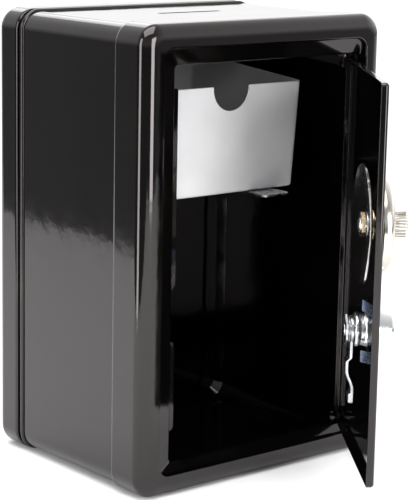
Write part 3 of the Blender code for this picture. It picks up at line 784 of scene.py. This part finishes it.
def lock_clip():
    """U-shaped clip pushed over the barrel from the hinge side, with its two ends bent in as wings."""
    near = SHEET + GAP
    inner = BARREL_RADIUS + GAP
    outer = inner + CLIP_WIDTH
    soft = STRIP_EDGE
    section = (         # the strip's eight corners: distance from the axis and share of the thickness
        (inner + soft, 0.0), (outer - soft, 0.0), (outer, 0.17), (outer, 0.83),
        (outer - soft, 1.0), (inner + soft, 1.0), (inner, 0.83), (inner, 0.17),
    )

    def wing(side, lift):
        """Rings of one wing, from its free end to its bend. The free end is shifted up by lift."""
        rings = []
        for height in (1.0, 0.5, WING_BEND, 0.0):
            bend = max(1 - height / WING_BEND, 0.0)
            depth = near + (WING_END - near) * height
            ring = []
            for across, share in section:
                behind = CLIP_SHEET * share
                up = side * across + lift * height
                ring.append(Vector((behind - CLIP_REACH, depth + behind * bend, up)))
            rings.append(ring)
        return rings

    arc = []
    for step in range(49):
        turn = step / 48 * math.pi
        ring = []
        for across, share in section:
            ring.append(Vector((across * math.sin(turn), near + CLIP_SHEET * share, across * math.cos(turn))))
        arc.append(ring)
    rings = wing(1, 2.4) + arc + wing(-1, 1.0)[::-1]
    maker = bmesh.new()
    skin(maker, rings, closed=False)
    put("lock_clip_look", maker, BLUED, "blued_steel", "door", LOCK, ("lock_clip",), sharp=30)


def lock_cam():
    """Cranked cam with a round eye and a thick tip, made from one strip that runs down from the eye."""
    base = BARREL_END + GAP
    hump = base + CAM_CRANK[0]
    tip = base + CAM_CRANK[1]
    path = [(-CAM_EYE, base), (10.2, base), (11.9, hump), (15.2, hump), (22.6, tip), (CAM_LENGTH, tip)]

    def level(down):
        """Depth of the strip's near face, with smooth steps between the points of the path."""
        for (start, low), (end, high) in zip(path[:-1], path[1:]):
            if down <= end:
                share = (down - start) / (end - start)
                smooth = share * share * (3 - 2 * share)
                return low + (high - low) * smooth
        return tip

    def half_width(down):
        """Half the strip's width: the round eye, then the tapered arm with its end drawn in."""
        eye = math.sqrt(max(CAM_EYE ** 2 - down ** 2, 0.0)) if abs(down) < CAM_EYE else 0.0
        arm = CAM_HALF - CAM_TAPER * max(down, 0.0)
        end = arm - 0.5 + 0.5 * min((CAM_LENGTH - down) / 0.5, 1.0)
        width = min(arm, end) if down > 0 else 0.0
        return max(width, eye, 0.4)

    rings = []
    count = 110
    soft = STRIP_EDGE
    for step in range(count + 1):
        down = -CAM_EYE + (CAM_LENGTH + CAM_EYE) * step / count
        wide = half_width(down)
        depth = level(down)
        block = min(max((down - TIP_START) / 0.4, 0.0), 1.0) * min((CAM_LENGTH - down) / 0.5 + 0.4, 1.0)
        thick = CAM_SHEET + TIP_SHEET * block
        section = (
            (-wide + soft, depth), (wide - soft, depth), (wide, depth + soft), (wide, depth + thick - soft),
            (wide - soft, depth + thick), (-wide + soft, depth + thick), (-wide, depth + thick - soft),
            (-wide, depth + soft),
        )
        rings.append([Vector((x, y, -down)) for x, y in section])
    maker = bmesh.new()
    skin(maker, rings, closed=False)
    cam = put("lock_cam_look", maker, ZINC, "zinc", "lock", LOCK, ("lock_cam",), sharp=30)
    cut(cam, LOCK, circle(TAIL_BORE), (5.0, 10.0), 1)


def lock_fasteners():
    """Washer and nut on the plug's tail."""
    turned("lock_washer_look", (
        (TAIL_BORE, 8.5, 0.1), (5.0, 8.5, 0.15), (5.0, 8.9, 0.15), (TAIL_BORE, 8.9, 0.1),
    ), True, ZINC, "zinc", "lock", LOCK, ("lock_washer",))
    hex_nut("lock_nut_look", 5.0, TAIL_BORE, 9.2, 10.3, ZINC, "zinc", "lock", LOCK, ("lock_nut",))


# ---------------------------------------------------------------- tray

def tray_ring(inset, height, draft):
    """A rounded rectangle lying flat. A height of None follows the sloping rim."""
    half = TRAY_HIGH.x - inset - draft
    front = TRAY_LOW.y + inset + draft * 0.1
    back = TRAY_HIGH.y - inset - draft / 2
    slope = (TRAY_HIGH.z - TRAY_FRONT_TOP) / (TRAY_HIGH.y - TRAY_LOW.y)
    ring = []
    for x, y in rounded_corners(-half, half, front, back, TRAY_CORNER - inset, steps=8):
        level = TRAY_FRONT_TOP + slope * (y - TRAY_LOW.y) if height is None else height
        ring.append(Vector((x, y, level)))
    return ring


def coin_tray():
    """Open tray with rounded rims and a half-round finger notch."""
    bottom = TRAY_LOW.z
    knots = [
        (tray_ring(2.2, bottom, TRAY_DRAFT), 0.0),
        (tray_ring(0.0, bottom, TRAY_DRAFT), 1.2),
        (tray_ring(0.0, None, 0.0), 0.35),
        (tray_ring(TRAY_WALL, None, 0.0), 0.35),
        (tray_ring(TRAY_WALL, bottom + TRAY_WALL, TRAY_DRAFT), 0.9),
        (tray_ring(TRAY_WALL + 1.6, bottom + TRAY_WALL, TRAY_DRAFT), 0.0),
    ]
    tray = shell("coin_tray_look", knots, False, PLASTIC, "silver_plastic", "tray", CASE, ("coin_tray",))
    centre = NOTCH_RADIUS + TRAY_FRONT_TOP - NOTCH_DEPTH
    outline = [(NOTCH_RADIUS, TRAY_HIGH.z + 5), (-NOTCH_RADIUS, TRAY_HIGH.z + 5)]
    for step in range(49):
        turn = math.pi + step / 48 * math.pi
        outline.append((NOTCH_RADIUS * math.cos(turn), centre + NOTCH_RADIUS * math.sin(turn)))
    cut(tray, CASE, outline, (TRAY_LOW.y - 3, TRAY_LOW.y + 8), 1)


# ---------------------------------------------------------------- nodes that keep their shape

PAINTED = (
    "hinge_bracket_lower", "hinge_bracket_upper", "hinge_pin_lower", "hinge_pin_upper", "hinge_lug_lower",
    "hinge_lug_upper", "tray_shelf_left", "tray_shelf_right",
)
PLATED = ("tray_tongue", "tray_rivet")


def repaint():
    """CAD nodes whose shape stays get the same looks as the rest."""
    for names, look in ((PAINTED, ENAMEL), (PLATED, ZINC)):
        for name in names:
            materials = frame["nodes"][name].data.materials
            materials.clear()
            materials.append(look)


# ---------------------------------------------------------------- stage

def floor():
    """Pale studio paper, wide to the right and back."""
    mesh = bpy.data.meshes.new("floor")
    corners = (
        (FLOOR_LEFT, FLOOR_FRONT), (FLOOR_RIGHT, FLOOR_FRONT),
        (FLOOR_RIGHT, FLOOR_BACK), (FLOOR_LEFT, FLOOR_BACK),
    )
    mesh.from_pydata([(x, y, 0.0) for x, y in corners], [], [(0, 1, 2, 3)])
    mesh.materials.append(floor_material())
    plane = bpy.data.objects.new("floor", mesh)
    bpy.context.scene.collection.objects.link(plane)


def studio():
    """White surroundings: brightest low down at the back, dim overhead and dark behind the camera."""
    world = bpy.data.worlds.new("studio")
    bpy.context.scene.world = world
    world.use_nodes = True
    tree = world.node_tree
    tree.nodes.clear()
    place = node(tree, "ShaderNodeTexCoord")
    split = node(tree, "ShaderNodeSeparateXYZ")
    tree.links.new(place.outputs["Generated"], split.inputs["Vector"])
    up = spread(tree, split.outputs["Z"], 0.62, 2.25, -0.05, 0.20)
    overhead = spread(tree, split.outputs["Z"], 1.0, 0.6, 0.30, 0.90)
    front_left = node(tree, "ShaderNodeVectorMath", operation="DOT_PRODUCT")
    front_left.inputs[1].default_value = (-0.85, -0.53, 0.0)
    tree.links.new(place.outputs["Generated"], front_left.inputs[0])
    shade = spread(tree, front_left.outputs["Value"], 1.0, 0.25, -0.80, 0.35)
    strength = up
    for factor in (overhead, shade):
        product = node(tree, "ShaderNodeMath", operation="MULTIPLY")
        tree.links.new(strength, product.inputs[0])
        tree.links.new(factor, product.inputs[1])
        strength = product.outputs["Value"]
    around = node(tree, "ShaderNodeBackground")
    tree.links.new(strength, around.inputs["Strength"])
    plain = node(tree, "ShaderNodeBackground", Strength=1.1)
    path = node(tree, "ShaderNodeLightPath")
    mix = node(tree, "ShaderNodeMixShader")
    tree.links.new(path.outputs["Is Camera Ray"], mix.inputs["Fac"])
    tree.links.new(around.outputs["Background"], mix.inputs[1])
    tree.links.new(plain.outputs["Background"], mix.inputs[2])
    output = node(tree, "ShaderNodeOutputWorld")
    tree.links.new(mix.outputs["Shader"], output.inputs["Surface"])
    for shader in (around, plain):
        shader.inputs["Color"].default_value = (1.0, 1.0, 1.0, 1.0)


def softbox(name, place, target, size, power):
    """A rectangular area light that the camera itself doesn't see."""
    lamp = bpy.data.lights.new(name, "AREA")
    lamp.shape = "RECTANGLE"
    lamp.size, lamp.size_y = size
    lamp.energy = power
    holder = bpy.data.objects.new(name, lamp)
    bpy.context.scene.collection.objects.link(holder)
    holder.location = place
    holder.rotation_euler = (Vector(target) - Vector(place)).to_track_quat("-Z", "Y").to_euler()
    holder.visible_camera = False


def lights():
    """Softboxes to the left and in front, and wide ones over the paper at the left and the back."""
    softbox("left_box", (-1.3, 0.05, 0.28), (0.0, 0.0, 0.08), (0.45, 1.3), 14.0)
    softbox("front_box", (0.0, -1.5, 0.28), (0.0, 0.0, 0.08), (0.5, 1.2), 20.0)
    softbox("top_box", (-0.28, -0.12, 0.95), (-0.2, 0.05, 0.0), (0.8, 0.8), 11.0)
    softbox("back_box", (0.9, 1.7, 1.4), (0.9, 1.6, 0.0), (1.4, 1.4), 16.0)


def camera():
    """Camera from the front left, a little above the case's top."""
    yaw = math.radians(CAMERA_YAW)
    pitch = math.radians(CAMERA_PITCH)
    roll = math.radians(CAMERA_ROLL)
    forward = Vector((math.sin(yaw) * math.cos(pitch), math.cos(yaw) * math.cos(pitch), -math.sin(pitch)))
    level = Vector((math.cos(yaw), -math.sin(yaw), 0.0))
    upright = level.cross(forward)
    right = math.cos(roll) * level + math.sin(roll) * upright
    top = -math.sin(roll) * level + math.cos(roll) * upright
    lens = bpy.data.cameras.new("camera")
    lens.sensor_width = CAMERA_SENSOR
    lens.lens = CAMERA_LENS
    holder = bpy.data.objects.new("camera", lens)
    bpy.context.scene.collection.objects.link(holder)
    turn = Matrix((right, top, -forward)).transposed().to_4x4()
    holder.matrix_world = CASE @ Matrix.Translation(Vector(CAMERA_PLACE) * MM) @ turn
    bpy.context.scene.camera = holder
    bpy.context.scene.view_settings.view_transform = "Standard"


# ---------------------------------------------------------------- build

camera()
front_frame()
body_band()
back_cover()
for strike in ("strike_lower", "strike_upper"):
    strike_plate(strike)
door_panel()
dial_plate()
dial_marks()
dial_knob()
lock_disc()
dial_hardware()
lock_housing()
lock_plug()
lock_clip()
lock_cam()
lock_fasteners()
coin_tray()
repaint()
floor()
studio()
lights()
